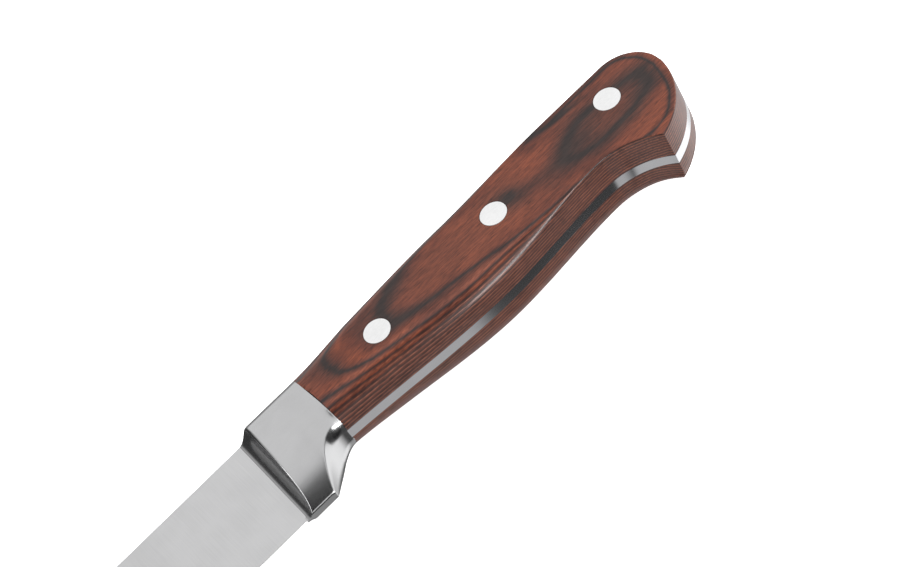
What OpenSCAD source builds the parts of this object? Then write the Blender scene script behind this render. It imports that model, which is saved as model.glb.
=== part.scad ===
// Kitchen utility knife: blade, bolster and full tang are one steel forging,
// with two laminated wood scales held by three two-part rivets.
// It lies on its side: X runs along the straight spine, + towards the butt,
// Y is + towards the spine, and Z is up through the handle's thickness.
// Shapes are worked out as u (along the spine from the joint of bolster and wood),
// v (from the spine, minus is down) and w (from the knife's middle plane).

/* [Blade] */
// Length from the foot of the bolster's front fillet to the tip
blade_len = 127; // [100:1:160]
// Height from spine to edge at the heel
blade_h = 25.7; // [22:0.1:29]
// Thickness at the spine beside the bolster
spine_t = 2.2; // [1.6:0.1:3]
// Thickness at the spine near the tip
tip_t = 1.2; // [0.8:0.1:1.6]
// Length of spine that is straight, from the bolster
spine_straight = 70; // [50:1:85]
// How far the spine falls at the tip
tip_drop = 5; // [2:0.5:10]
// Length of edge that is straight, from the heel
edge_straight = 55; // [40:1:85]
// How sharply the edge sweeps up to the tip
sweep_power = 2.4; // [1.8:0.1:3]
// Height of the honed bevel along the edge
bevel_h = 0.8; // [0.4:0.1:1.5]
// Thickness at the top of the honed bevel
bevel_t = 0.4; // [0.3:0.05:0.6]
// Thickness of the edge itself
edge_t = 0.1; // [0.06:0.02:0.2]
// Height of the blunt end of the tip
tip_blunt = 0.5; // [0.3:0.1:1]

/* [Bolster] */
// Length of the side face, from the wood to the front ledge at the spine
bolster_len = 13.6; // [12:0.1:18]
// Length of the hollow fillet from the ledge to the blade
fillet_len = 3.4; // [2.4:0.1:4]
// Thickness of the bolster and of the handle where they meet
front_t = 15.1; // [13:0.1:16]
// Height from the spine down to the flat of the heel
heel_h = 26.2; // [24:0.1:30]
// Width of the flat of the heel
heel_t = 2.1; // [1.8:0.1:3.5]
// Length of the finger guard's hollow, from the wood to the heel
guard_len = 9.4; // [8:0.1:11]
// How hollow the guard is, where 1 is a straight slope
guard_power = 2; // [1.5:0.1:2.2]
// Where the guard's edge leaves the rounded section, in degrees round the section
guard_edge = 28; // [25:1:40]
// How far the sides bulge between spine and heel, where 1 is flat
side_power = 2.2; // [1.4:0.1:2.6]
// Height below the spine where the bolster's sides start to taper, at the ledge
taper_start = 7; // [6:0.5:10]
// Forward lean of the ledge, in degrees
ledge_lean = 2; // [0:0.5:4]
// Backward lean of the joint between bolster and wood, in degrees
joint_lean = 2; // [0:0.5:4]

/* [Handle] */
// Length of the wood from the bolster to the butt
handle_len = 100; // [90:1:125]
// Thickness over the two flat faces
handle_t = 17; // [15.5:0.1:20]
// Distance from the bolster where the handle reaches its full thickness
full_t_at = 18; // [12:1:25]
// Height at the bolster
front_h = 17.2; // [15:0.1:19]
// Slope of the underside at the bolster
belly_slope = 0.07; // [0:0.01:0.15]
// Height at the lowest point of the underside's swell
belly_h = 20.8; // [19:0.1:23]
// Distance from the bolster to that lowest point
belly_at = 43; // [30:1:50]
// Height at the waist in front of the beak
waist_h = 19; // [17.5:0.1:20.5]
// Distance from the butt forward to the waist
waist_back = 27; // [22:0.5:32]
// Distance from the butt forward to the beak's corner
beak_back = 13.4; // [12:0.1:16]
// Radius of the butt's upper corner
butt_top_r = 9; // [7:0.5:11]
// Radius of the butt's long lower curve
butt_low_r = 19.3; // [17:0.1:24]
// Angle below level where the two curves of the butt meet
butt_turn = 10; // [5:1:20]

/* [Rounded edges] */
// Round-over of the lower edges at the bolster
belly_round_front = 8; // [5:0.5:8]
// Round-over of the lower edges at the swell
belly_round_mid = 4.5; // [2:0.5:6]
// Round-over of the upper edges at the bolster
spine_round_front = 5.5; // [3:0.5:6]
// Round-over of the upper edges at the swell
spine_round_mid = 2.4; // [1:0.2:4]
// Round-over of the upper scale's edges round the butt, left nearly crisp
upper_round_rear = 0.4; // [0.2:0.1:1.2]
// Round-over of the lower scale's edges round the butt, eased for the palm
lower_round_rear = 4.5; // [0.8:0.1:5]

/* [Tang and rivets] */
// Thickness of the tang
tang_t = 2.6; // [2:0.1:3.5]
// Diameter of the rivet heads
head_d = 6; // [5:0.1:8]
// Thickness of the rivet heads
head_t = 2.4; // [1.5:0.1:3]
// Outside diameter of the rivet sleeves
sleeve_d = 4.2; // [3.6:0.1:4.6]
// Diameter of the rivet studs
stud_d = 2.8; // [2:0.1:3]
// Distance from the bolster to the front rivet
rivet_front = 18.6; // [14:0.1:24]
// Distance from the butt forward to the rear rivet
rivet_back = 13.8; // [11:0.1:18]
// Depth of the front rivet below the spine
rivet_front_depth = 10; // [9:0.1:11]
// Depth of the rear rivet below the spine
rivet_rear_depth = 8; // [7:0.1:9.5]
// Radial clearance of the sleeves and heads in the wood and the tang
rivet_clear = 0.05; // [0.02:0.01:0.1]
// Radial clearance of a stud in its sleeve
stud_clear = 0.02; // [0.01:0.01:0.05]
// Gap past the end of each stud and sleeve
end_clear = 0.3; // [0.2:0.1:1]

/* [Hidden] */
$fn = 48;

// Steps of the lofts: along the handle, round an edge, down the bolster's side,
// and along the guard, the fillet and the blade
handle_steps = 20;
waist_steps = 6;
beak_steps = 3;
butt_steps = 8;
round_steps = 6;
side_steps = 8;
guard_steps = 8;
fillet_steps = 6;
blade_steps = 24;
// Last angle of the butt's upper curve, which leaves a small flat at the very end
butt_end_angle = 82;
// Stock that the lofts keep past a face that is cut flat
lap = 0.05;
// Length by which solids reach into each other or past a cut
reach = 2;
// Wood left straight beside the tang at a rounded edge
edge_land = 0.3;
// Distance from the beak's corner over which its edges are rounded straight upwards
beak_span = 8;
// How deep the fillet's foot runs into the blade
fillet_sink = 0.1;
// How the guard's edges fall to the heel, as a power of the way there
edge_fall = 2;
// Length over which the bolster's section turns from the wood's rounding to its own taper
section_turn = 7.5;
// Step for measuring a slope
du = 0.02;
// Side of the block that cuts the joint
block = 200;

half_t = handle_t / 2;
half_tang = tang_t / 2;
half_front = front_t / 2;
scale_t = half_t - half_tang;

// Butt curves
butt_cu = handle_len - butt_top_r;
butt_cv = -butt_top_r;
low_cu = butt_cu - (butt_low_r - butt_top_r) * cos(butt_turn);
low_cv = butt_cv + (butt_low_r - butt_top_r) * sin(butt_turn);
turn_u = butt_cu + butt_top_r * cos(butt_turn);
butt_end = butt_cu + butt_top_r * sin(butt_end_angle);

// Waist and beak
waist_u = handle_len - waist_back;
beak_u = handle_len - beak_back;
beak_h = -butt_low(beak_u);
beak_r = (pow(beak_u - waist_u, 2) + pow(beak_h - waist_h, 2)) / (2 * (beak_h - waist_h));

// Bolster and blade
ledge_u = -bolster_len;
foot_u = ledge_u - fillet_len;
tip_u = foot_u - blade_len;
blade_taper = atan((spine_t - bevel_t) / 2 / (blade_h - bevel_h));

// Where the knife lies: the middle of its length and height over the origin, one face on Z = 0
place_x = -(tip_u + butt_end) / 2;
place_y = max(heel_h, beak_h) / 2;
place_z = half_t;

// Rivet places, front to rear, as [u, v]
rivet_ends = [
    [rivet_front, -rivet_front_depth],
    [handle_len - rivet_back, -rivet_rear_depth]
];
rivets = [rivet_ends[0], (rivet_ends[0] + rivet_ends[1]) / 2, rivet_ends[1]];

// Smooth step from 0 to 1
function ease(t) = let (c = min(1, max(0, t))) c * c * (3 - 2 * c);

// Value between a and b
function mix(a, b, t) = a + (b - a) * t;

// Curve from height a with slope m to height b with no slope, over a length
function swell(a, m, b, length, u) =
    let (t = u / length)
    a + (b - a) * t * t * (3 - 2 * t) + m * length * t * (1 - t) * (1 - t);

// Height of a circle's upper half at u
function arc_top(cu, cv, r, u) = cv + sqrt(max(0, r * r - pow(u - cu, 2)));

// Height of the butt's lower curve at u
function butt_low(u) =
    u < turn_u
        ? low_cv - sqrt(max(0, butt_low_r * butt_low_r - pow(u - low_cu, 2)))
        : butt_cv - sqrt(max(0, butt_top_r * butt_top_r - pow(u - butt_cu, 2)));

// Underside of the handle, from the bolster to the butt
function under(u) =
    u < 0 ? -front_h
    : u < belly_at ? swell(-front_h, -belly_slope, -belly_h, belly_at, u)
    : u < waist_u ? swell(-belly_h, 0, -waist_h, waist_u - belly_at, u - belly_at)
    : u < beak_u ? arc_top(waist_u, -waist_h - beak_r, beak_r, u)
    : butt_low(u);

// Upper side of the handle
function over(u) = u < butt_cu ? 0 : arc_top(butt_cu, butt_cv, butt_top_r, u);

// Round-over of an edge that goes from front to mid at the swell and to rear at the waist
function round_at(front, mid, rear, u) =
    u < belly_at
        ? mix(front, mid, ease(u / belly_at))
        : mix(mid, rear, ease((u - belly_at) / (waist_u - belly_at)));

// Half of the handle's thickness, a little more than the flat faces leave
function half_at(u) = mix(half_front, half_t + lap, ease(u / full_t_at));

// Inward normals of the two sides
function under_normal(u) =
    let (m = (under(u + du) - under(u - du)) / (2 * du)) [-m, 1] / norm([m, 1]);
function over_normal(u) =
    let (m = (over(u + du) - over(u - du)) / (2 * du)) [m, -1] / norm([m, 1]);

// Direction in which the lower edges are rounded: square to the side, upright at the beak
function under_inset(u) =
    let (way = mix(under_normal(u), [0, 1], ease(1 - abs(u - beak_u) / beak_span))) way / norm(way);

// Points round one edge of the handle, from its side (0 degrees) to its face (90 degrees)
function edge_round(u, v, normal, r, half, from, to) =
    let (rw = min(r, half - half_tang - edge_land))
    [for (i = [0 : round_steps])
        let (a = mix(from, to, i / round_steps))
        let (inset = r * (1 - cos(a)))
        [u + normal[0] * inset, v + normal[1] * inset, half - rw * (1 - sin(a))]];

// Section of one half of the handle at u
function handle_ring(u, rear) =
    let (under_r = round_at(belly_round_front, belly_round_mid, rear, u))
    let (over_r = round_at(spine_round_front, spine_round_mid, rear, u))
    concat(
        [[u, under(u), 0]],
        edge_round(u, under(u), under_inset(u), under_r, half_at(u), 0, 90),
        edge_round(u, over(u), over_normal(u), over_r, half_at(u), 90, 0),
        [[u, over(u), 0]]
    );

// Places along the handle, closest together round the butt
handle_us = concat(
    [for (i = [0 : handle_steps]) mix(-reach, waist_u, i / handle_steps)],
    [for (i = [1 : waist_steps]) mix(waist_u, beak_u, i / waist_steps)],
    [for (i = [1 : beak_steps]) mix(beak_u, butt_cu, i / beak_steps)],
    [for (i = [1 : butt_steps]) butt_cu + butt_top_r * sin(butt_end_angle * i / butt_steps)]
);

// Outline of the handle and tang, seen from the side
handle_outline = concat(
    [for (u = handle_us) [u, under(u)]],
    [for (i = [len(handle_us) - 1 : -1 : 0]) [handle_us[i], over(handle_us[i])]]
);

// Half of the blade's thickness at the spine
function spine_half(along) = mix(spine_t, tip_t, min(1, along / blade_len)) / 2;

// Spine and edge of the blade at a distance from the bolster
function blade_spine(along) =
    -tip_drop * pow(max(0, along - spine_straight) / (blade_len - spine_straight), 2);
function blade_edge(along) =
    let (t = max(0, along - edge_straight) / (blade_len - edge_straight))
    mix(-blade_h, -tip_drop - tip_blunt, pow(t, sweep_power));

// Section of the blade, round from one side of the edge to the other
function blade_ring(along) =
    let (top = blade_spine(along), low = blade_edge(along), height = top - low)
    let (bevel = min(bevel_h, height / 2))
    let (thin = min(1, height / (3 * bevel_h)))
    let (at_top = max(edge_t / 2, spine_half(along) * thin))
    let (at_bevel = max(edge_t / 2, bevel_t / 2 * thin))
    [
        [foot_u - along, low, -edge_t / 2],
        [foot_u - along, low + bevel, -at_bevel],
        [foot_u - along, top, -at_top],
        [foot_u - along, top, at_top],
        [foot_u - along, low + bevel, at_bevel],
        [foot_u - along, low, edge_t / 2]
    ];

// Share of the way along the finger guard, from the wood to the heel
function guard_way(u) = min(1, max(0, -u / guard_len));

// Half of the bolster's thickness at v, where its sides taper to the heel
function side_half(v) =
    let (way = min(1, max(0, (-v - taper_start) / (heel_h - taper_start))))
    mix(half_front, heel_t / 2, pow(way, side_power));

// Half of the handle's thickness at v where it meets the bolster, rounded towards the belly
function joint_half(v) =
    let (along = min(1, max(0, (v + front_h) / belly_round_front)))
    let (depth = min(belly_round_front, half_front - half_tang - edge_land))
    half_front - depth * (1 - sin(acos(1 - along)));

// One side of the bolster's section at u, from the spine down to the middle of the guard
function bolster_side(u) =
    let (way = guard_way(u))
    let (base = edge_round(0, -front_h, [0, 1], belly_round_front, half_front, guard_edge, 0))
    let (corner = base[0])
    let (mid_v = mix(-front_h, -heel_h, pow(way, guard_power)))
    let (low_v = mix(corner[1], -heel_h, pow(way, edge_fall)))
    let (turn = ease(-u / section_turn))
    let (low_w = mix(corner[2], side_half(low_v), turn))
    concat(
        edge_round(u, 0, [0, -1], spine_round_front, half_front, 0, 90),
        [for (i = [0 : side_steps])
            let (v = mix(-taper_start, low_v, i / side_steps))
            let (joint_v = mix(-taper_start, corner[1], i / side_steps))
            [u, v, mix(joint_half(joint_v), side_half(v), turn)]],
        [for (i = [1 : round_steps])
            let (rise = (base[i][1] + front_h) / (corner[1] + front_h))
            [u, mix(mid_v, low_v, rise), low_w * base[i][2] / corner[2]]]
    );

// Full section from one side of it, leaned forward below the spine
function both_sides(side, lean) =
    let (leaned = [for (p = side) [p[0] + p[1] * tan(lean), p[1], p[2]]])
    concat(leaned, [for (i = [len(leaned) - 1 : -1 : 0]) [leaned[i][0], leaned[i][1], -leaned[i][2]]]);

// Sections of the bolster before its front is hollowed, from inside the wood to the blade
bolster_rings = concat(
    [both_sides([for (p = bolster_side(0)) p + [reach, 0, 0]], 0)],
    [for (i = [0 : guard_steps])
        let (u = -guard_len * i / guard_steps)
        both_sides(bolster_side(u), ledge_lean * ease(-u / bolster_len))],
    [for (u = [ledge_u, foot_u]) both_sides(bolster_side(u), ledge_lean)]
);

// Solid through a row of rings that run the same way round; an end that isn't flat takes strips
module loft(rings, strips = false) {
    n = len(rings[0]);
    last = (len(rings) - 1) * n;
    points = [for (ring = rings) each ring];
    sides = [for (k = [0 : n : last - n], i = [0 : n - 1])
        let (j = (i + 1) % n)
        each [[k + i, k + j, k + n + j], [k + i, k + n + j, k + n + i]]];
    first_end = [[for (i = [n - 1 : -1 : 0]) i]];
    last_end = strips
        ? [for (i = [0 : n / 2 - 2])
            let (j = n - 1 - i)
            each [[last + i, last + i + 1, last + j], [last + i + 1, last + j - 1, last + j]]]
        : [[for (i = [0 : n - 1]) last + i]];
    polyhedron(points, concat(sides, first_end, last_end), convexity = 6);
}

// The knife's place on the surface it lies on
module place() {
    translate([place_x, place_y, place_z]) children();
}

// All that lies behind the joint between bolster and wood
module behind_joint() {
    rotate([0, 0, joint_lean]) translate([0, -block / 2, -block / 2]) cube(block);
}

// Round holes at the three rivets
module rivet_holes(d, low, high) {
    for (p = rivets) {
        translate([p[0], p[1], low]) cylinder(d = d, h = high - low);
    }
}

// Tang with its rivet holes, from inside the bolster to the butt
module tang() {
    difference() {
        translate([0, 0, -half_tang]) linear_extrude(tang_t) polygon(handle_outline);
        rivet_holes(sleeve_d + 2 * rivet_clear, -half_t, half_t);
    }
}

// What is hollowed out of one side of the bolster's front, down to the blade's face
module front_hollow() {
    depth = half_front - spine_half(0) + fillet_sink;
    curve = [for (i = [0 : fillet_steps])
        let (a = 90 * i / fillet_steps)
        [foot_u + fillet_len * cos(a), depth * (1 - sin(a))]];
    translate([0, 0, spine_half(0) - fillet_sink]) rotate([blade_taper, 0, 0])
        rotate([0, 0, -ledge_lean]) rotate([90, 0, 0])
            translate([0, 0, -heel_h]) linear_extrude(3 * heel_h)
                polygon(concat(curve, [[foot_u - reach, 0], [foot_u - reach, block], [ledge_u, block]]));
}

// Bolster, hollowed at its front and cut off at its joint with the wood
module bolster() {
    difference() {
        loft(bolster_rings);
        behind_joint();
        front_hollow();
        mirror([0, 0, 1]) front_hollow();
    }
}

// Blade, from inside the bolster to the tip
module blade() {
    loft([for (i = [-1 : blade_steps])
        blade_ring(i < 0 ? -fillet_len - reach : blade_len * i / blade_steps)]);
}

// One scale with its rivet holes and head recesses, over the middle plane
module scale_body(rear) {
    difference() {
        intersection() {
            loft([for (u = handle_us) handle_ring(u, rear)], strips = true);
            behind_joint();
            translate([-block / 2, -block / 2, half_tang]) cube([2 * block, block, scale_t]);
        }
        rivet_holes(sleeve_d + 2 * rivet_clear, 0, half_t);
        rivet_holes(head_d + 2 * rivet_clear, half_t - head_t, half_t + reach);
    }
}

// Sleeve half of a rivet: head flush with the upper face, tube through to the lower recess
module rivet_sleeve(i) {
    color("gainsboro") place() translate([rivets[i][0], rivets[i][1], 0]) difference() {
        union() {
            translate([0, 0, half_t - head_t]) cylinder(d = head_d, h = head_t);
            translate([0, 0, head_t + end_clear - half_t])
                cylinder(d = sleeve_d, h = handle_t - 2 * head_t);
        }
        translate([0, 0, -half_t]) cylinder(d = stud_d + 2 * stud_clear, h = handle_t - head_t);
    }
}

// Stud half of a rivet: head flush with the lower face, pin up inside the sleeve
module rivet_stud(i) {
    color("silver") place() translate([rivets[i][0], rivets[i][1], -half_t]) {
        cylinder(d = head_d, h = head_t);
        cylinder(d = stud_d, h = handle_t - head_t - end_clear);
    }
}

// Blade, bolster and tang in one piece
module forging() {
    color("lightgray") place() {
        tang();
        bolster();
        blade();
    }
}

module scale_upper() {
    color("saddlebrown") place() scale_body(upper_round_rear);
}

module scale_lower() {
    color("sienna") place() mirror([0, 0, 1]) scale_body(lower_round_rear);
}

forging();
scale_upper();
scale_lower();
rivet_sleeve(0);  // rivet_sleeve_front
rivet_stud(0);  // rivet_stud_front
rivet_sleeve(1);  // rivet_sleeve_middle
rivet_stud(1);  // rivet_stud_middle
rivet_sleeve(2);  // rivet_sleeve_rear
rivet_stud(2);  // rivet_stud_rear
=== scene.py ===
"""Looks of the kitchen utility knife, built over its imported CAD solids.

Shapes are worked out in millimetres, as in the CAD part: u along the straight spine from the joint
of bolster and wood (+ towards the butt), v from the spine (minus is down), w from the middle plane.
"""
import math

import bpy
import bmesh
import numpy as np
from mathutils import Matrix, Vector


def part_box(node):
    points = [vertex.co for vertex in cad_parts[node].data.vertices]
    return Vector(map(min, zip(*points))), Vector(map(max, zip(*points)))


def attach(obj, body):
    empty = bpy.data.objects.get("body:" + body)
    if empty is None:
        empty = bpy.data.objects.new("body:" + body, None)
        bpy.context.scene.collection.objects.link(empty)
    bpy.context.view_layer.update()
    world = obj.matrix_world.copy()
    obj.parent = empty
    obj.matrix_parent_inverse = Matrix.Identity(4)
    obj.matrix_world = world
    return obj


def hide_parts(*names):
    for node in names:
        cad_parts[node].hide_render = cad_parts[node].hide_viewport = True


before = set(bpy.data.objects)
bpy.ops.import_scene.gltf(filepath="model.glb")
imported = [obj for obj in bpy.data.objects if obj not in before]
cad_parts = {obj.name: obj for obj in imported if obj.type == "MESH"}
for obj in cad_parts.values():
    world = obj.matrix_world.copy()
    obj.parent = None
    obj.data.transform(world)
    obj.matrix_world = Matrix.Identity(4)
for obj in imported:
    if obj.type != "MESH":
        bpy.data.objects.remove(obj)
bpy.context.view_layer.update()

MM = 0.001

# Blade
BLADE_LEN = 127
BLADE_H = 25.7
SPINE_T = 2.2
TIP_T = 1.2
SPINE_STRAIGHT = 70
TIP_DROP = 5
EDGE_STRAIGHT = 55
SWEEP_POWER = 2.4
BEVEL_H = 0.8
BEVEL_T = 0.4
EDGE_T = 0.1
TIP_BLUNT = 0.5

# Bolster
BOLSTER_LEN = 13.6
FILLET_LEN = 3.4
FRONT_T = 15.1
HEEL_H = 26.2
HEEL_T = 2.1
GUARD_LEN = 9.4
GUARD_POWER = 2
GUARD_EDGE = 28
SIDE_POWER = 2.2
TAPER_START = 7
LEDGE_LEAN = 2
JOINT_LEAN = 2
EDGE_FALL = 2
SECTION_TURN = 7.5
FILLET_SINK = 0.03

# Handle
HANDLE_LEN = 100
FULL_T_AT = 18
FRONT_H = 17.2
BELLY_SLOPE = 0.07
BELLY_H = 20.8
BELLY_AT = 43
WAIST_H = 19
WAIST_BACK = 27
BEAK_BACK = 13.4
BUTT_TOP_R = 9
BUTT_LOW_R = 19.3
BUTT_TURN = 10
BUTT_END_ANGLE = 82
BELLY_ROUND_FRONT = 8
BELLY_ROUND_MID = 4.5
SPINE_ROUND_FRONT = 5.5
SPINE_ROUND_MID = 2.4
UPPER_ROUND_REAR = 0.4
LOWER_ROUND_REAR = 4.5
BEAK_SPAN = 8
EDGE_LAND = 0.3
TANG_T = 2.6

# Rivets
RIVET_FRONT = (18.6, -10)
RIVET_BACK = 13.8
RIVET_REAR_DEPTH = 8
HEAD_D = 6
HEAD_T = 2.4
RIM_GAP = 0.1

# Small roundings of the dressed pieces
WOOD_EASE = 0.12
STEEL_EASE = 0.1
GUARD_EASE = 0.4
LEDGE_EASE_TOP = 0.9
LEDGE_EASE_HEEL = 0.25
# How far blade and tang run into the bolster, and how far they stay under its skin there
REACH = 2
SKIN = 0.05
# Edges that turn by more degrees than this are eased
WOOD_SHARP = 45
STEEL_SHARP = 50
BLADE_SHARP = 60
# Length over which the lean of the joint fades out on either side of it
JOINT_FADE = 4
# The handle's thickness is worked out this far past its face and cut off there, so the face is truly flat
FACE_OVER = 0.05

# Points along the handle, from bolster to waist, beak, butt and end
HANDLE_POINTS = 80
WAIST_POINTS = 28
BEAK_POINTS = 12
BUTT_POINTS = 34
# Points round a scale's edge and across its face
ROUND_POINTS = 13
FACE_POINTS = 12
# Points round the bolster's upper and lower edge, down its side, and on the finished side, bend and guard
EDGE_POINTS = 20
SIDE_POINTS = 30
FLANK_POINTS = 40
BEND_POINTS = 8
GUARD_POINTS = 22
# Sections along the guard, to the ledge, round it and down the fillet, and along the blade
GUARD_RINGS = 44
LEDGE_RINGS = 10
EASE_RINGS = 9
FILLET_RINGS = 18
BLADE_RINGS = 60
# Sides of a rivet's recess, and how far its cutter stands past the face
RECESS_SIDES = 96
RECESS_OVER = 1

HALF_TANG = TANG_T / 2
HALF_FRONT = FRONT_T / 2
BUTT_CU = HANDLE_LEN - BUTT_TOP_R
BUTT_CV = -BUTT_TOP_R
TURN = math.radians(BUTT_TURN)
LOW_CU = BUTT_CU - (BUTT_LOW_R - BUTT_TOP_R) * math.cos(TURN)
LOW_CV = BUTT_CV + (BUTT_LOW_R - BUTT_TOP_R) * math.sin(TURN)
TURN_U = BUTT_CU + BUTT_TOP_R * math.cos(TURN)
BUTT_END = BUTT_CU + BUTT_TOP_R * math.sin(math.radians(BUTT_END_ANGLE))
WAIST_U = HANDLE_LEN - WAIST_BACK
BEAK_U = HANDLE_LEN - BEAK_BACK
LEDGE_U = -BOLSTER_LEN
FOOT_U = LEDGE_U - FILLET_LEN
RIVET_REAR = (HANDLE_LEN - RIVET_BACK, -RIVET_REAR_DEPTH)
RIVETS = [tuple(a + (b - a) * t for a, b in zip(RIVET_FRONT, RIVET_REAR)) for t in (0, 0.5, 1)]

# Where u, v and w start in the frame: the butt, the spine and half the handle's thickness are its own
forging_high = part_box("forging")[1]
HALF_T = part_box("scale_upper")[1][2] / MM / 2
ORIGIN = np.array([forging_high[0] / MM - BUTT_END, forging_high[1] / MM, HALF_T])


def ease(t):
    t = np.clip(t, 0, 1)
    return t * t * (3 - 2 * t)


def mix(a, b, t):
    return a + (b - a) * t


def swell(a, slope, b, length, u):
    t = u / length
    return a + (b - a) * t * t * (3 - 2 * t) + slope * length * t * (1 - t) ** 2


def half_circle(r, offset):
    return np.sqrt(np.maximum(0, r * r - offset ** 2))


# Outline of the handle

def butt_low(u):
    return np.where(
        u < TURN_U,
        LOW_CV - half_circle(BUTT_LOW_R, u - LOW_CU),
        BUTT_CV - half_circle(BUTT_TOP_R, u - BUTT_CU),
    )


BEAK_H = -float(butt_low(BEAK_U))
BEAK_R = ((BEAK_U - WAIST_U) ** 2 + (BEAK_H - WAIST_H) ** 2) / (2 * (BEAK_H - WAIST_H))


def under(u):
    """Underside of the handle, from the bolster to the butt."""
    return np.select(
        [u < 0, u < BELLY_AT, u < WAIST_U, u < BEAK_U],
        [
            -FRONT_H + 0 * u,
            swell(-FRONT_H, -BELLY_SLOPE, -BELLY_H, BELLY_AT, u),
            swell(-BELLY_H, 0, -WAIST_H, WAIST_U - BELLY_AT, u - BELLY_AT),
            -WAIST_H - BEAK_R + half_circle(BEAK_R, u - WAIST_U),
        ],
        butt_low(u),
    )


def over(u):
    """Upper side of the handle."""
    return np.where(u < BUTT_CU, 0, BUTT_CV + half_circle(BUTT_TOP_R, u - BUTT_CU))


def slope_of(curve, u, step=0.02):
    return (curve(u + step) - curve(u - step)) / (2 * step)


def unit(vector):
    return np.array(vector) / np.linalg.norm(vector)


def under_inset(u):
    """Way in which the lower edge is rounded: square to the side, upright at the beak."""
    square = unit([-slope_of(under, u), 1])
    return unit(mix(square, np.array([0, 1]), ease(1 - abs(u - BEAK_U) / BEAK_SPAN)))


def over_inset(u):
    return unit([slope_of(over, u), -1])


def round_at(front, middle, rear, u):
    if u < BELLY_AT:
        return mix(front, middle, ease(u / BELLY_AT))
    return mix(middle, rear, ease((u - BELLY_AT) / (WAIST_U - BELLY_AT)))


def half_at(u):
    return min(HALF_T, mix(HALF_FRONT, HALF_T + FACE_OVER, ease(u / FULL_T_AT)))


def edge_round(start, inset, r, half, angles):
    """Points (u, v, w) round one edge, from its side at 0 degrees to its face at 90."""
    depth = min(r, half - HALF_TANG - EDGE_LAND)
    a = np.radians(angles)
    along = r * (1 - np.cos(a))
    return np.column_stack([
        start[0] + inset[0] * along,
        start[1] + inset[1] * along,
        half - depth * (1 - np.sin(a)),
    ])


def handle_us():
    """Places along the handle, closest together round the butt."""
    butt = np.radians(np.linspace(0, BUTT_END_ANGLE, BUTT_POINTS))
    return np.concatenate([
        np.linspace(0, WAIST_U, HANDLE_POINTS)[:-1],
        np.linspace(WAIST_U, BEAK_U, WAIST_POINTS)[:-1],
        np.linspace(BEAK_U, BUTT_CU, BEAK_POINTS)[:-1],
        BUTT_CU + BUTT_TOP_R * np.sin(butt),
    ])


def joint_shear(points):
    """Leans the end at the joint of bolster and wood, fading out away from it."""
    share = np.clip(1 - abs(points[:, 0]) / JOINT_FADE, 0, 1)
    points[:, 0] -= points[:, 1] * math.tan(math.radians(JOINT_LEAN)) * share
    return points


def scale_ring(u, rear):
    """Section of one scale at u, from the tang under it round the face and back to the tang."""
    half = half_at(u)
    steps = np.linspace(0, 90, ROUND_POINTS)
    low, high = (u, float(under(u))), (u, float(over(u)))
    under_r = round_at(BELLY_ROUND_FRONT, BELLY_ROUND_MID, rear, u)
    over_r = round_at(SPINE_ROUND_FRONT, SPINE_ROUND_MID, rear, u)
    lower = edge_round(low, under_inset(u), under_r, half, steps)
    upper = edge_round(high, over_inset(u), over_r, half, steps[::-1])
    face = np.linspace(lower[-1], upper[0], FACE_POINTS)[1:-1]
    ring = np.vstack([[(*low, HALF_TANG)], lower, face, upper, [(*high, HALF_TANG)]])
    return joint_shear(ring)


# Bolster

def resample(line, count):
    """Points evenly spaced along a polyline."""
    steps = np.concatenate([[0], np.cumsum(np.linalg.norm(np.diff(line, axis=0), axis=1))])
    at = np.linspace(0, steps[-1], count)
    return np.column_stack([np.interp(at, steps, line[:, k]) for k in range(line.shape[1])])


def cut_back(line, length):
    """A polyline shortened at its end by a length."""
    steps = np.concatenate([[0], np.cumsum(np.linalg.norm(np.diff(line, axis=0), axis=1))])
    keep = max(steps[-1] - length, steps[-1] / 2)
    end = [np.interp(keep, steps, line[:, k]) for k in range(line.shape[1])]
    return np.vstack([line[steps < keep], [end]])


def side_half(v):
    """Half of the bolster's thickness where its sides taper to the heel."""
    way = np.clip((-v - TAPER_START) / (HEEL_H - TAPER_START), 0, 1)
    return mix(HALF_FRONT, HEEL_T / 2, way ** SIDE_POWER)


def wood_half(v):
    """Half of the handle's thickness where it meets the bolster."""
    along = np.clip((v + FRONT_H) / BELLY_ROUND_FRONT, 0, 1)
    depth = min(BELLY_ROUND_FRONT, HALF_FRONT - HALF_TANG - EDGE_LAND)
    return HALF_FRONT - depth * (1 - np.sin(np.arccos(1 - along)))


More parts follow.
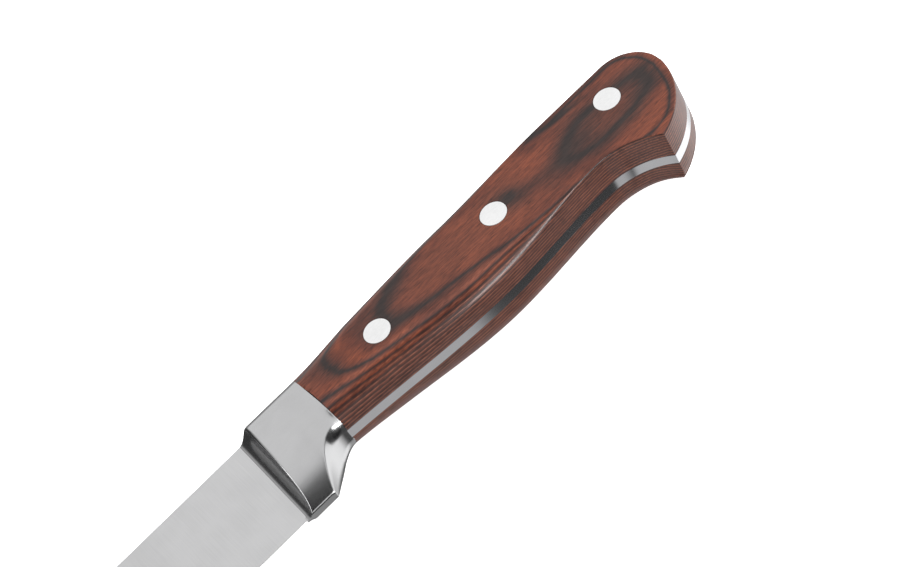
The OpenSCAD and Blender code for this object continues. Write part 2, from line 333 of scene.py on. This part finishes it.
def bolster_side(u):
    """One half of the bolster's section at u as (v, w), from the spine to the middle of the guard.

    Returns the points and the index at which the guard begins.
    """
    way = min(1, max(0, -u / GUARD_LEN))
    angles = np.linspace(GUARD_EDGE, 0, EDGE_POINTS)
    base = edge_round((0, -FRONT_H), (0, 1), BELLY_ROUND_FRONT, HALF_FRONT, angles)[:, 1:]
    corner = base[0]
    mid_v = mix(-FRONT_H, -HEEL_H, way ** GUARD_POWER)
    low_v = mix(corner[0], -HEEL_H, way ** EDGE_FALL)
    turn = ease(-u / SECTION_TURN)
    flank_v = np.linspace(-SPINE_ROUND_FRONT, low_v, SIDE_POINTS)
    joint_v = np.linspace(-SPINE_ROUND_FRONT, corner[0], SIDE_POINTS)
    flank = np.column_stack([flank_v, mix(wood_half(joint_v), side_half(flank_v), turn)])
    low_w = flank[-1, 1]
    rise = (base[:, 0] + FRONT_H) / (corner[0] + FRONT_H)
    belly = np.column_stack([mix(mid_v, low_v, rise), low_w * base[:, 1] / corner[1]])
    belly = np.vstack([belly, [(mid_v, 0)]])
    flank = resample(cut_back(flank, GUARD_EASE), FLANK_POINTS)
    belly = resample(cut_back(belly[::-1], min(GUARD_EASE, low_w / 3))[::-1], GUARD_POINTS)
    t = np.linspace(0, 1, BEND_POINTS)[1:-1, None]
    bend = flank[-1] * (1 - t) ** 2 + 2 * np.array([low_v, low_w]) * t * (1 - t) + belly[0] * t ** 2
    angles = np.linspace(0, 90, EDGE_POINTS)
    top = edge_round((0, 0), (0, -1), SPINE_ROUND_FRONT, HALF_FRONT, angles)[:, 1:]
    top = np.vstack([[(0, 0)], top])
    return np.vstack([top, flank, bend, belly]), len(top) + len(flank) + len(bend) // 2


def blade_face(v):
    """Half of the blade's thickness beside the bolster, v below the spine."""
    return mix(SPINE_T, BEVEL_T, np.clip(-v / (BLADE_H - BEVEL_H), 0, 1)) / 2


def full_ring(u, half):
    """Both sides of a section of the bolster, leaned as its ledge and its joint are."""
    v, w = half[:, 0], half[:, 1]
    u = np.broadcast_to(u, v.shape)
    lean = np.tan(math.radians(LEDGE_LEAN) * ease(-u / BOLSTER_LEN))
    side = joint_shear(np.column_stack([u + v * lean, v, w]))
    return np.vstack([side, side[-2:0:-1] * (1, 1, -1)])


def bolster_rings():
    """Sections from the wood to the ledge, round it, then down the hollow front to the blade's face."""
    rings = [full_ring(u, bolster_side(u)[0]) for u in np.linspace(0, -GUARD_LEN, GUARD_RINGS)]
    ledge = bolster_side(LEDGE_U)[0]
    v, w = ledge[:, 0], ledge[:, 1]
    depth = HALF_FRONT - SPINE_T / 2 + FILLET_SINK
    foot_w = blade_face(v) - FILLET_SINK

    def hollow(turn):
        return FOOT_U + FILLET_LEN * np.sin(turn), np.minimum(w, foot_w + depth * (1 - np.cos(turn)))

    def turn_at(w):
        return np.arccos(1 - np.clip((w - foot_w) / depth, 0, 1))

    edge_u = hollow(turn_at(w))[0]
    steep = np.arctan2(depth * np.sin(turn_at(w)), FILLET_LEN * np.cos(turn_at(w)))
    rounding = mix(LEDGE_EASE_TOP, LEDGE_EASE_HEEL, ease(-v / HEEL_H)) * np.tan(steep / 2)
    end_turn = turn_at(w - rounding * np.sin(steep))
    end_u, end_w = hollow(end_turn)
    for t in np.linspace(0, 1, LEDGE_RINGS)[1:]:
        half = bolster_side(mix(-GUARD_LEN, LEDGE_U, t))[0]
        rings.append(full_ring(mix(-GUARD_LEN, edge_u + rounding, t), half))
    for t in np.linspace(0, 1, EASE_RINGS)[1:]:
        u = (edge_u + rounding) * (1 - t) ** 2 + 2 * edge_u * t * (1 - t) + end_u * t ** 2
        rings.append(full_ring(u, np.column_stack([v, w + (end_w - w) * t ** 2])))
    for t in np.linspace(1, 0, FILLET_RINGS)[1:]:
        u, hollow_w = hollow(end_turn * t)
        drawn_up = v * mix(BLADE_H / HEEL_H, 1, t)
        rings.append(full_ring(u, np.column_stack([drawn_up, np.minimum(hollow_w, end_w)])))
    return rings


# Blade

def blade_ring(along):
    """Section of the blade at a distance from the bolster, round from one side of the edge."""
    tail = max(0, along - SPINE_STRAIGHT) / (BLADE_LEN - SPINE_STRAIGHT)
    sweep = max(0, along - EDGE_STRAIGHT) / (BLADE_LEN - EDGE_STRAIGHT)
    top = -TIP_DROP * tail ** 2
    low = mix(-BLADE_H, -TIP_DROP - TIP_BLUNT, sweep ** SWEEP_POWER)
    bevel = min(BEVEL_H, (top - low) / 2)
    thin = min(1, (top - low) / (3 * BEVEL_H))
    at_top = max(EDGE_T, mix(SPINE_T, TIP_T, min(1, max(0, along / BLADE_LEN))) * thin) / 2
    at_bevel = max(EDGE_T, BEVEL_T * thin) / 2
    half = [(low, EDGE_T / 2), (low + bevel, at_bevel), (top, at_top)]
    u = FOOT_U - along
    if along < 0:
        middle = (top + low) / 2
        half = [(v - math.copysign(SKIN, v - middle), w) for v, w in half]
    return np.array([(u, v, -w) for v, w in half] + [(u, v, w) for v, w in half[::-1]])


# Meshes

def collect(name, points, faces, indices=None):
    """A mesh object from points in u, v, w."""
    mesh = bpy.data.meshes.new(name)
    mesh.from_pydata(((np.asarray(points) + ORIGIN) * MM).tolist(), [], faces)
    if indices:
        mesh.polygons.foreach_set("material_index", indices)
    tidy = bmesh.new()
    tidy.from_mesh(mesh)
    bmesh.ops.remove_doubles(tidy, verts=tidy.verts, dist=1e-7)
    bmesh.ops.recalc_face_normals(tidy, faces=tidy.faces)
    tidy.to_mesh(mesh)
    tidy.free()
    piece = bpy.data.objects.new(name, mesh)
    bpy.context.scene.collection.objects.link(piece)
    return piece


def loft(name, rings, strip_end=False, index_of=None):
    """Closed solid through rings of equal length; an end that isn't flat is closed by a strip."""
    n, last = len(rings[0]), (len(rings) - 1) * len(rings[0])
    faces, indices = [], []
    for k in range(len(rings) - 1):
        for i in range(n):
            j = (i + 1) % n
            faces.append((k * n + i, k * n + j, (k + 1) * n + j, (k + 1) * n + i))
            indices.append(index_of(k, i) if index_of else 0)
    faces.append(tuple(range(n))[::-1])
    if strip_end:
        faces += [(last + i, last + i + 1, last + n - 2 - i, last + n - 1 - i) for i in range(n // 2 - 1)]
    else:
        faces.append(tuple(range(last, last + n)))
    indices += [0] * (len(faces) - len(indices))
    return collect(name, np.vstack(rings), faces, indices)


def bake_modifiers(piece):
    """Puts what the modifiers make into the piece's own mesh."""
    graph = bpy.context.evaluated_depsgraph_get()
    mesh = bpy.data.meshes.new_from_object(piece.evaluated_get(graph))
    piece.modifiers.clear()
    piece.data = mesh


def ease_edges(piece, width, angle, segments=2):
    """Rounds the piece's sharp edges a little, and shades it smooth between those left."""
    bevel = piece.modifiers.new("eased edges", "BEVEL")
    bevel.width = width * MM
    bevel.segments = segments
    bevel.limit_method = "ANGLE"
    bevel.angle_limit = math.radians(angle)
    bake_modifiers(piece)
    shade_smooth(piece)


def shade_smooth(piece, angle=40):
    piece.data.polygons.foreach_set("use_smooth", [True] * len(piece.data.polygons))
    piece.data.set_sharp_from_angle(angle=math.radians(angle))
    weighted = piece.modifiers.new("flat faces stay flat", "WEIGHTED_NORMAL")
    weighted.keep_sharp = True


def drill(piece, low, high, radius):
    """Cuts a round recess at each rivet, from w = low to w = high."""
    cutter_mesh = bpy.data.meshes.new("recesses")
    shape = bmesh.new()
    for u, v in RIVETS:
        at = (np.array([u, v, (low + high) / 2]) + ORIGIN) * MM
        bmesh.ops.create_cone(
            shape, cap_ends=True, segments=RECESS_SIDES, radius1=radius * MM, radius2=radius * MM,
            depth=abs(high - low) * MM, matrix=Matrix.Translation(at))
    shape.to_mesh(cutter_mesh)
    shape.free()
    cutter = bpy.data.objects.new("recesses", cutter_mesh)
    bpy.context.scene.collection.objects.link(cutter)
    cut = piece.modifiers.new("rivet recesses", "BOOLEAN")
    cut.operation = "DIFFERENCE"
    cut.solver = "EXACT"
    cut.object = cutter
    bake_modifiers(piece)
    bpy.data.objects.remove(cutter)
    bpy.data.meshes.remove(cutter_mesh)


def stand_for(piece, node, slot, *materials):
    """The piece takes a CAD node's place, with its own materials."""
    piece.data.materials.clear()
    for material in materials:
        piece.data.materials.append(material)
    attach(piece, "root")
    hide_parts(node)


# Materials

class Nodes:
    """A node tree, with short names for the nodes it is made of."""

    def __init__(self, tree):
        self.tree = tree

    def node(self, kind, **settings):
        made = self.tree.nodes.new(kind)
        for key, value in settings.items():
            setattr(made, key, value)
        return made

    def put(self, socket, value):
        if isinstance(value, bpy.types.NodeSocket):
            self.tree.links.new(value, socket)
        else:
            socket.default_value = value

    def math(self, operation, *values):
        made = self.node("ShaderNodeMath", operation=operation)
        for socket, value in zip(made.inputs, values):
            self.put(socket, value)
        return made.outputs[0]

    def split(self, vector):
        parts = self.node("ShaderNodeSeparateXYZ")
        self.put(parts.inputs[0], vector)
        return list(parts.outputs)

    def rise(self, value, low, high):
        """0 below low, 1 above high and smooth between; falls where low is the higher."""
        made = self.node("ShaderNodeMapRange", interpolation_type="SMOOTHSTEP")
        for name, number in (("Value", value), ("From Min", low), ("From Max", high)):
            self.put(made.inputs[name], number)
        return made.outputs[0]

    def near(self, vector, axis, wide, narrow):
        """1 for directions within narrow degrees of an axis, 0 beyond wide degrees."""
        made = self.node("ShaderNodeVectorMath", operation="DOT_PRODUCT")
        self.put(made.inputs[0], vector)
        self.put(made.inputs[1], Vector(axis).normalized())
        return self.rise(made.outputs["Value"], math.cos(math.radians(wide)), math.cos(math.radians(narrow)))

    def noise(self, place, scales, detail=2.0, roughness=0.5):
        """Noise from 0 to 1, with its own scale per millimetre in each direction."""
        joined = self.node("ShaderNodeCombineXYZ")
        for socket, value, scale in zip(joined.inputs, place, scales):
            self.put(socket, self.math("MULTIPLY", value, scale))
        made = self.node("ShaderNodeTexNoise")
        self.put(made.inputs["Vector"], joined.outputs[0])
        self.put(made.inputs["Scale"], 1.0)
        self.put(made.inputs["Detail"], detail)
        self.put(made.inputs["Roughness"], roughness)
        return made.outputs["Fac"]

    def spot(self, u, v, at_u, at_v, length, width, turn):
        """1 in the middle of an oval spot, falling off smoothly with no edge."""
        c, d = math.cos(math.radians(turn)), math.sin(math.radians(turn))
        along = self.math("MULTIPLY_ADD", v, d / length, -(at_u * c + at_v * d) / length)
        along = self.math("MULTIPLY_ADD", u, c / length, along)
        across_grain_and_shade = self.math("MULTIPLY_ADD", v, c / width, (at_u * d - at_v * c) / width)
        across_grain_and_shade = self.math("MULTIPLY_ADD", u, -d / width, across_grain_and_shade)
        spread = self.math("MULTIPLY_ADD", along, along, self.math("MULTIPLY", across_grain_and_shade, across_grain_and_shade))
        return self.math("POWER", math.exp(-1), spread)

    def length(self, a, b):
        squares = self.math("MULTIPLY_ADD", a, a, self.math("MULTIPLY", b, b))
        return self.math("SQRT", squares)

    def ramp(self, value, stops, smooth=True):
        made = self.node("ShaderNodeValToRGB")
        made.color_ramp.interpolation = "EASE" if smooth else "LINEAR"
        points = made.color_ramp.elements
        while len(points) < len(stops):
            points.new(0.5)
        for point, (position, colour) in zip(points, stops):
            point.position = position
            point.color = (*colour, 1)
        self.put(made.inputs[0], value)
        return made.outputs[0]

    def blend(self, factor, a, b, mode="MIX"):
        made = self.node("ShaderNodeMix", data_type="RGBA", blend_type=mode)
        self.put(made.inputs["Factor"], factor)
        for name, value in (("A", a), ("B", b)):
            socket = next(s for s in made.inputs if s.name == name and s.type == "RGBA")
            self.put(socket, value if isinstance(value, bpy.types.NodeSocket) else (*value, 1))
        return next(s for s in made.outputs if s.type == "RGBA")


class Shader(Nodes):
    """A material and its nodes."""

    def __init__(self, name):
        self.material = bpy.data.materials.new(name)
        self.material.use_nodes = True
        super().__init__(self.material.node_tree)
        self.main = self.tree.nodes["Principled BSDF"]

    def place(self):
        """u, v and w of the shaded point."""
        parts = self.split(self.node("ShaderNodeTexCoord").outputs["Object"])
        return [self.math("MULTIPLY_ADD", parts[k], 1 / MM, -float(ORIGIN[k])) for k in range(3)]

    def bump(self, height, strength, distance):
        made = self.node("ShaderNodeBump")
        self.put(made.inputs["Height"], height)
        self.put(made.inputs["Strength"], strength)
        self.put(made.inputs["Distance"], distance * MM)
        self.put(self.main.inputs["Normal"], made.outputs[0])

    def set(self, **values):
        for key, value in values.items():
            self.put(self.main.inputs[key.replace("_", " ")], value)


# Figure of the wood. The veneers lie flat, so the tapered front cuts through them in rounded contours.
# Behind the front rivet they sink under the face in a tongue: the u and v of its tip, and how fast its
# upper and lower side run back
TONGUE = (21.0, -9.5, 0.17, 0.35)
TONGUE_DEPTH = 0.4
TONGUE_SPAN = (-6.0, 12.0)
# Places where they rise again: centre u and v, length, width, turn in degrees and height in millimetres
RISES = [
    (83.6, -11.2, 16.4, 5.6, 2, 0.5),
    (40.0, -16.0, 9.0, 1.2, -8, 0.2),
    (77.0, -2.4, 8.0, 0.8, -4, 0.2),
]
# Places where the dye is darker: centre u and v, length, width, turn in degrees and strength
SMUDGES = [
    (74.5, -11.2, 7.0, 2.2, 3, 0.85),
    (56.6, -8.7, 4.2, 3.2, -20, 1.1),
    (28.0, -4.0, 4.0, 2.4, 25, 0.65),
    (23.8, -12.2, 4.0, 1.3, -10, 0.8),
    (62.0, -10.5, 5.0, 1.6, -5, 0.35),
    (4.0, -5.0, 5.0, 4.0, 0, 0.4),
    (85.0, -11.0, 10.0, 4.0, 2, 0.35),
    (38.0, -9.0, 16.0, 7.0, -6, 0.3),
]
# Round the butt they dip towards the outline: where along the handle this starts and is full, how far
# inside the outline it starts and is full, and its depth
RIM_FROM = (62.0, 76.0)
RIM_INSIDE = (2.6, 0.4)
RIM_DIP = 0.42
# How far slow swirls and fine streaks move the veneers up and down
SWIRL = 0.2
STREAK = 0.16
# Thickness of a veneer, and the height above the middle plane of one of the dark seams between them
VENEER_T = 0.75
DARK_VENEER_AT = 7.87

DARK_WOOD = (0.022, 0.013, 0.0115)
BROWN_WOOD = (0.07, 0.022, 0.014)
RED_WOOD = (0.128, 0.031, 0.015)
ORANGE_WOOD = (0.195, 0.046, 0.019)
PALE_WOOD = (0.26, 0.1, 0.06)
# Dark brown that the sides are blended towards: painted shade
SHADED_SIDE_WOOD = (0.036, 0.0135, 0.0095)
CLOUD_TINT = (0.62, 0.6, 0.66)
# Colours through one veneer, from seam to seam
VENEER = [
    (0.0, DARK_WOOD), (0.03, DARK_WOOD), (0.12, BROWN_WOOD), (0.24, RED_WOOD), (0.42, ORANGE_WOOD),
    (0.7, RED_WOOD), (0.88, BROWN_WOOD), (0.96, DARK_WOOD), (1.0, DARK_WOOD),
]
# Share of the veneer where its cut edge is palest
PALE_AT = 0.6


def laminated_wood(name):
    """Dyed veneers bonded in layers: dark bands where a surface cuts through them."""
    s = Shader(name)
    u, v, w = place = s.place()
    swirl = s.noise(place, (0.07, 0.16, 0.16), 2.0)
    streak = s.noise(place, (0.09, 2.4, 2.4), 3.0, 0.6)

    tip_u, tip_v, upper_run, lower_run = TONGUE
    off = s.math("SUBTRACT", v, tip_v)
    run = s.math("MULTIPLY_ADD", s.math("LESS_THAN", off, 0.0), lower_run - upper_run, upper_run)
    back = s.math("MULTIPLY_ADD", s.math("MULTIPLY", off, off), run, tip_u)
    sunk = s.rise(s.math("SUBTRACT", u, back), *TONGUE_SPAN)
    height = s.math("MULTIPLY_ADD", sunk, TONGUE_DEPTH, s.math("ABSOLUTE", w))
    for *spot, lift in RISES:
        height = s.math("MULTIPLY_ADD", s.spot(u, v, *spot), -lift, height)

    # Gap to the butt's outline, as the nearer of its two curves
    corner_u = s.math("MAXIMUM", s.math("SUBTRACT", u, BUTT_CU), 0.0)
    corner_v = s.math("MAXIMUM", s.math("SUBTRACT", v, BUTT_CV), 0.0)
    upper_gap = s.math("SUBTRACT", BUTT_TOP_R, s.length(corner_u, corner_v))
    low_away = s.length(s.math("SUBTRACT", u, LOW_CU), s.math("SUBTRACT", v, LOW_CV))
    gap = s.math("MINIMUM", upper_gap, s.math("SUBTRACT", BUTT_LOW_R, low_away))
    rim = s.math("MULTIPLY", s.rise(gap, *RIM_INSIDE), s.rise(u, *RIM_FROM))
    height = s.math("MULTIPLY_ADD", rim, -RIM_DIP, height)

    height = s.math("MULTIPLY_ADD", s.math("SUBTRACT", swirl, 0.5), SWIRL, height)
    height = s.math("MULTIPLY_ADD", s.math("SUBTRACT", streak, 0.5), STREAK, height)
    layer = s.math("MULTIPLY_ADD", height, 1 / VENEER_T, -DARK_VENEER_AT / VENEER_T)
    part = s.math("SUBTRACT", layer, s.math("FLOOR", layer))
    colour = s.ramp(part, VENEER, smooth=False)
    warm = s.noise(place, (0.05, 0.11, 0.3), 2.0)
    colour = s.blend(s.rise(warm, 0.4, 0.68), colour, s.blend(1.0, colour, CLOUD_TINT, "MULTIPLY"))

    ragged = s.math("MULTIPLY_ADD", streak, 1.2, 0.4)
    for *spot, strength in SMUDGES:
        dark = s.math("MULTIPLY", s.math("MULTIPLY", s.spot(u, v, *spot), strength), ragged)
        colour = s.blend(s.math("MINIMUM", dark, 1.0), colour, DARK_WOOD)

    # Cut across, as on the sides and the butt, the veneers are closer in colour and show thin pale edges;
    # the sides are also darkened as painted shade
    upright = s.math("ABSOLUTE", s.split(s.node("ShaderNodeNewGeometry").outputs["Normal"])[2])
    across_grain_and_shade = s.rise(upright, 0.99, 0.55)
    # Painted shade: the sides and the butt are darkened towards a dark brown
    colour = s.blend(s.math("MULTIPLY", across_grain_and_shade, 0.55), colour, SHADED_SIDE_WOOD)
    pale = s.rise(s.math("ABSOLUTE", s.math("SUBTRACT", part, PALE_AT)), 0.1, 0.03)
    colour = s.blend(s.math("MULTIPLY", s.math("MULTIPLY", pale, across_grain_and_shade), 0.6), colour, PALE_WOOD)

    fibre = s.noise(place, (0.3, 3.8, 3.8), 4.0, 0.7)
    fibres = s.ramp(fibre, [(0.3, (0.5, 0.48, 0.48)), (0.7, (1.35, 1.35, 1.35))])
    colour = s.blend(1.0, colour, fibres, "MULTIPLY")
    pore = s.noise(place, (0.4, 4.6, 4.6), 1.0)
    pores = s.ramp(pore, [(0.28, (0.4, 0.38, 0.4)), (0.42, (1, 1, 1))])
    s.set(Base_Color=s.blend(0.8, colour, pores, "MULTIPLY"))
    s.set(Roughness=s.math("MULTIPLY_ADD", fibre, 0.2, 0.3), Specular_IOR_Level=0.4)
    # The rounded edges are buffed brighter than the flat face
    buffed = s.rise(upright, 0.998, 0.93)
    s.set(Coat_Weight=s.math("MULTIPLY", buffed, 0.4), Coat_Roughness=0.14)
    s.bump(fibre, 0.15, 0.03)
    return s.material


# Depth from which grinding lines also stand out as relief
GROUND_DEPTH = 0.06


def steel(name, colour, roughness, lines, depth):
    """Ground or polished steel, with grinding lines at their own scale per millimetre."""
    s = Shader(name)
    place = s.place()
    grain = s.noise(place, lines, 3.0, 0.6)
    cloud = s.noise(place, (0.12, 0.12, 0.12), 2.0)
    tone = s.ramp(cloud, [(0.3, tuple(c * 0.95 for c in colour)), (0.7, colour)])
    lines_tone = s.ramp(grain, [(0.3, (1 - depth, 1 - depth, 1 - depth)), (0.7, (1, 1, 1))])
    s.set(Base_Color=s.blend(1.0, tone, lines_tone, "MULTIPLY"), Metallic=1.0)
    s.set(Roughness=s.math("MULTIPLY_ADD", grain, depth, roughness - depth / 2))
    if depth >= GROUND_DEPTH:
        s.bump(grain, 0.2, depth * 0.03)
    return s.material


wood = laminated_wood("laminated wood")
blade_steel = steel("ground blade", (0.66, 0.66, 0.665), 0.34, (7.0, 0.1, 0.1), 0.06)
bolster_steel = steel("satin bolster", (0.55, 0.55, 0.555), 0.2, (0.5, 2.5, 2.5), 0.02)
guard_steel = steel("polished guard", (0.74, 0.74, 0.75), 0.06, (0.8, 0.8, 0.8), 0.01)
tang_steel = steel("polished tang", (0.72, 0.72, 0.74), 0.12, (0.3, 3.0, 3.0), 0.01)
rivet_steel = steel("satin rivets", (0.97, 0.97, 0.97), 0.36, (1.2, 3.0, 1.2), 0.06)

# Pieces

for side, sign, rear in (("upper", 1, UPPER_ROUND_REAR), ("lower", -1, LOWER_ROUND_REAR)):
    rings = [scale_ring(u, rear) * (1, 1, sign) for u in handle_us()]
    scale = loft(f"wood_{side}", rings, strip_end=True)
    drill(scale, sign * (HALF_T - HEAD_T), sign * (HALF_T + RECESS_OVER), HEAD_D / 2 + RIM_GAP)
    ease_edges(scale, WOOD_EASE, WOOD_SHARP)
    stand_for(scale, f"scale_{side}", "wood", wood)

sections = bolster_rings()
ring_len, guard_from = len(sections[0]), bolster_side(0)[1]
bolster = loft("bolster", sections, index_of=lambda k, i: int(guard_from <= i < ring_len - guard_from))
ease_edges(bolster, STEEL_EASE, STEEL_SHARP)
stand_for(bolster, "forging", "steel", bolster_steel, guard_steel)

alongs = np.concatenate([[-FILLET_LEN - REACH, -SKIN], np.linspace(0, BLADE_LEN, BLADE_RINGS)])
blade = loft("blade", [blade_ring(along) for along in alongs])
ease_edges(blade, STEEL_EASE, BLADE_SHARP)
stand_for(blade, "forging", "steel", blade_steel)

tang_us = np.concatenate([[-REACH], handle_us()])
tang_rings = []
for u in tang_us:
    skin = SKIN if u <= 0 else 0
    low, high = float(under(u)) + skin, float(over(u)) - skin
    sides = [(low, -HALF_TANG), (low, HALF_TANG), (high, HALF_TANG), (high, -HALF_TANG)]
    tang_rings.append(np.array([(u, v, w) for v, w in sides]))
tang = loft("tang", tang_rings)
ease_edges(tang, STEEL_EASE, STEEL_SHARP)
stand_for(tang, "forging", "steel", tang_steel)

for name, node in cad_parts.items():
    if name.startswith("rivet"):
        node.data.materials.clear()
        node.data.materials.append(rivet_steel)
        node.modifiers.new("joined", "WELD").merge_threshold = 1e-6
        rim = node.modifiers.new("eased rim", "BEVEL")
        rim.width = STEEL_EASE * MM
        rim.segments = 2
        rim.limit_method = "ANGLE"
        rim.angle_limit = math.radians(STEEL_SHARP)

# Stage

FLOOR_SIZE = 6
FLOOR_GLOW = 1.0
# The floor lies a hair under the knife, so that two faces never share a place
FLOOR_Z = -0.0002

floor_mesh = bpy.data.meshes.new("floor")
corners = [(-1, -1), (1, -1), (1, 1), (-1, 1)]
floor_mesh.from_pydata([(x * FLOOR_SIZE / 2, y * FLOOR_SIZE / 2, 0) for x, y in corners], [], [(0, 1, 2, 3)])
floor = bpy.data.objects.new("floor", floor_mesh)
floor.location.z = FLOOR_Z
floor.visible_glossy = False
bpy.context.scene.collection.objects.link(floor)
floor_look = Shader("pale floor")
floor_look.set(Base_Color=(0.85, 0.85, 0.85, 1), Roughness=0.9)
floor_look.set(Emission_Color=(1, 1, 1, 1), Emission_Strength=FLOOR_GLOW)
floor_mesh.materials.append(floor_look.material)

# What the steel mirrors: white sheets behind, beside and under the knife, with dark gaps between them.
# Gaps in the light from under it: axis, and degrees from it where the gap ends and where it is full
GAPS = [
    ((0.24, -0.63, -0.735), 11, 7),
    ((0.35, 0.3, -0.89), 16, 9),
    ((0.45, -0.83, -0.33), 34, 29),
]
GAP_SHARE = 0.95
# Single lamps: the same, and brightness
LAMPS = [
    ((0.05, -0.9, 0.43), 12, 8, 1.2),
    ((-0.77, 0.08, 0.62), 17, 10, 4.0),
    ((0.95, -0.2, -0.25), 30, 24, 1.2),
    ((-0.52, -0.4, -0.74), 24, 16, 0.55),
]
# Black cards, which the guard mirrors beside the wood and the bolster's side above the heel
CARDS = [
    ((0.7, -0.67, -0.22), 30, 24),
    ((-0.05, -0.58, 0.81), 20, 10),
]
CARD_SHARE = 0.97
# Brightness of the sheets above the floor, the left one's share of it, and the light between them
SHEET_LIGHT = 0.93
LEFT_SHARE = 0.8
ROOM_LIGHT = 0.055


def studio(sky):
    """Brightness of the surroundings in each direction."""
    way = sky.node("ShaderNodeTexCoord").outputs["Generated"]
    x, y, z = sky.split(way)
    behind = sky.math("MULTIPLY", sky.near(way, (0.15, 0.62, 0.77), 61, 49), sky.rise(x, -0.45, -0.05))
    left = sky.math("MULTIPLY", sky.rise(z, 0.38, 0.7), sky.rise(x, 0.0, -0.6))
    right = sky.math("MULTIPLY", sky.rise(z, 0.08, 0.33), sky.rise(x, 0.08, 0.2))
    over_light = sky.math("MAXIMUM", behind, right)
    over_light = sky.math("MAXIMUM", over_light, sky.math("MULTIPLY", left, LEFT_SHARE))
    over_light = sky.math("MULTIPLY_ADD", over_light, SHEET_LIGHT, ROOM_LIGHT)

    under_light = sky.math("MULTIPLY", sky.rise(z, -0.15, -0.2), sky.rise(x, -0.3, -0.05))
    # Brighter towards the butt, and dimmer towards the back
    for part, low, high, change, start in ((x, 0.25, 0.4, 0.95, 0.45), (y, 0.05, 0.4, -0.4, 1.0)):
        level = sky.math("MULTIPLY_ADD", sky.rise(part, low, high), change, start)
        under_light = sky.math("MULTIPLY", under_light, level)
    for axis, wide, narrow in GAPS:
        level = sky.math("MULTIPLY_ADD", sky.near(way, axis, wide, narrow), -GAP_SHARE, 1.0)
        under_light = sky.math("MULTIPLY", under_light, level)

    light = sky.math("ADD", under_light, over_light)
    for axis, wide, narrow, strength in LAMPS:
        light = sky.math("MAXIMUM", light, sky.math("MULTIPLY", sky.near(way, axis, wide, narrow), strength))
    for card in CARDS:
        light = sky.math("MULTIPLY", light, sky.math("MULTIPLY_ADD", sky.near(way, *card), -CARD_SHARE, 1.0))
    return light


world = bpy.context.scene.world or bpy.data.worlds.new("studio")
bpy.context.scene.world = world
world.use_nodes = True
sky = Nodes(world.node_tree)
background = world.node_tree.nodes["Background"]
sky.put(background.inputs["Color"], (1, 1, 1, 1))
sky.put(background.inputs["Strength"], studio(sky))


def softbox(name, at, aim, width, height, power, mirrored=False):
    """A soft lamp, which isn't seen mirrored in surfaces unless asked."""
    lamp = bpy.data.lights.new(name, "AREA")
    lamp.shape = "RECTANGLE"
    lamp.size, lamp.size_y, lamp.energy = width, height, power
    holder = bpy.data.objects.new(name, lamp)
    holder.location = at
    holder.rotation_euler = (Vector(aim) - Vector(at)).to_track_quat("-Z", "Y").to_euler()
    holder.visible_glossy = mirrored
    bpy.context.scene.collection.objects.link(holder)


MIDDLE = (0.03, 0, 0.01)
softbox("top softbox", (0.2, 0.1, 1.1), MIDDLE, 1.0, 0.8, 6.3)
softbox("left softbox", (-0.9, 0.1, 0.7), MIDDLE, 0.6, 0.6, 3)
softbox("right softbox", (1.0, -0.35, 0.3), MIDDLE, 0.6, 0.6, 4)
# A low strip in front, for the sheen along the handle's lower edge
BELLY = Vector(ORIGIN + (66, -19, 5)) * MM
STRIP_AT = BELLY + Vector((0.22, -0.96, 0.15)) * 0.25
softbox("belly strip", STRIP_AT, BELLY, 0.17, 0.05, 0.32, mirrored=True)

# Camera, solved from the photograph's rivets

CAMERA_AT = Vector(ORIGIN + (-38.01, -333.1, 360.5)) * MM
CAMERA_AIM = Vector(ORIGIN + (37.24, -6.85, 0)) * MM
CAMERA_ROLL = math.radians(-34.46)
CAMERA_LENS = 96
CAMERA_SENSOR = 36

back = (CAMERA_AT - CAMERA_AIM).normalized()
level = Vector((0, 0, 1)).cross(back).normalized()
upright = back.cross(level)
right = level * math.cos(CAMERA_ROLL) + upright * math.sin(CAMERA_ROLL)
up = back.cross(right)
camera_data = bpy.data.cameras.new("camera")
camera_data.lens = CAMERA_LENS
camera_data.sensor_width = CAMERA_SENSOR
camera_data.clip_start = 0.01
camera = bpy.data.objects.new("camera", camera_data)
camera.matrix_world = Matrix.Translation(CAMERA_AT) @ Matrix((right, up, back)).transposed().to_4x4()
bpy.context.scene.collection.objects.link(camera)
bpy.context.scene.camera = camera
bpy.context.scene.view_settings.view_transform = "Standard"
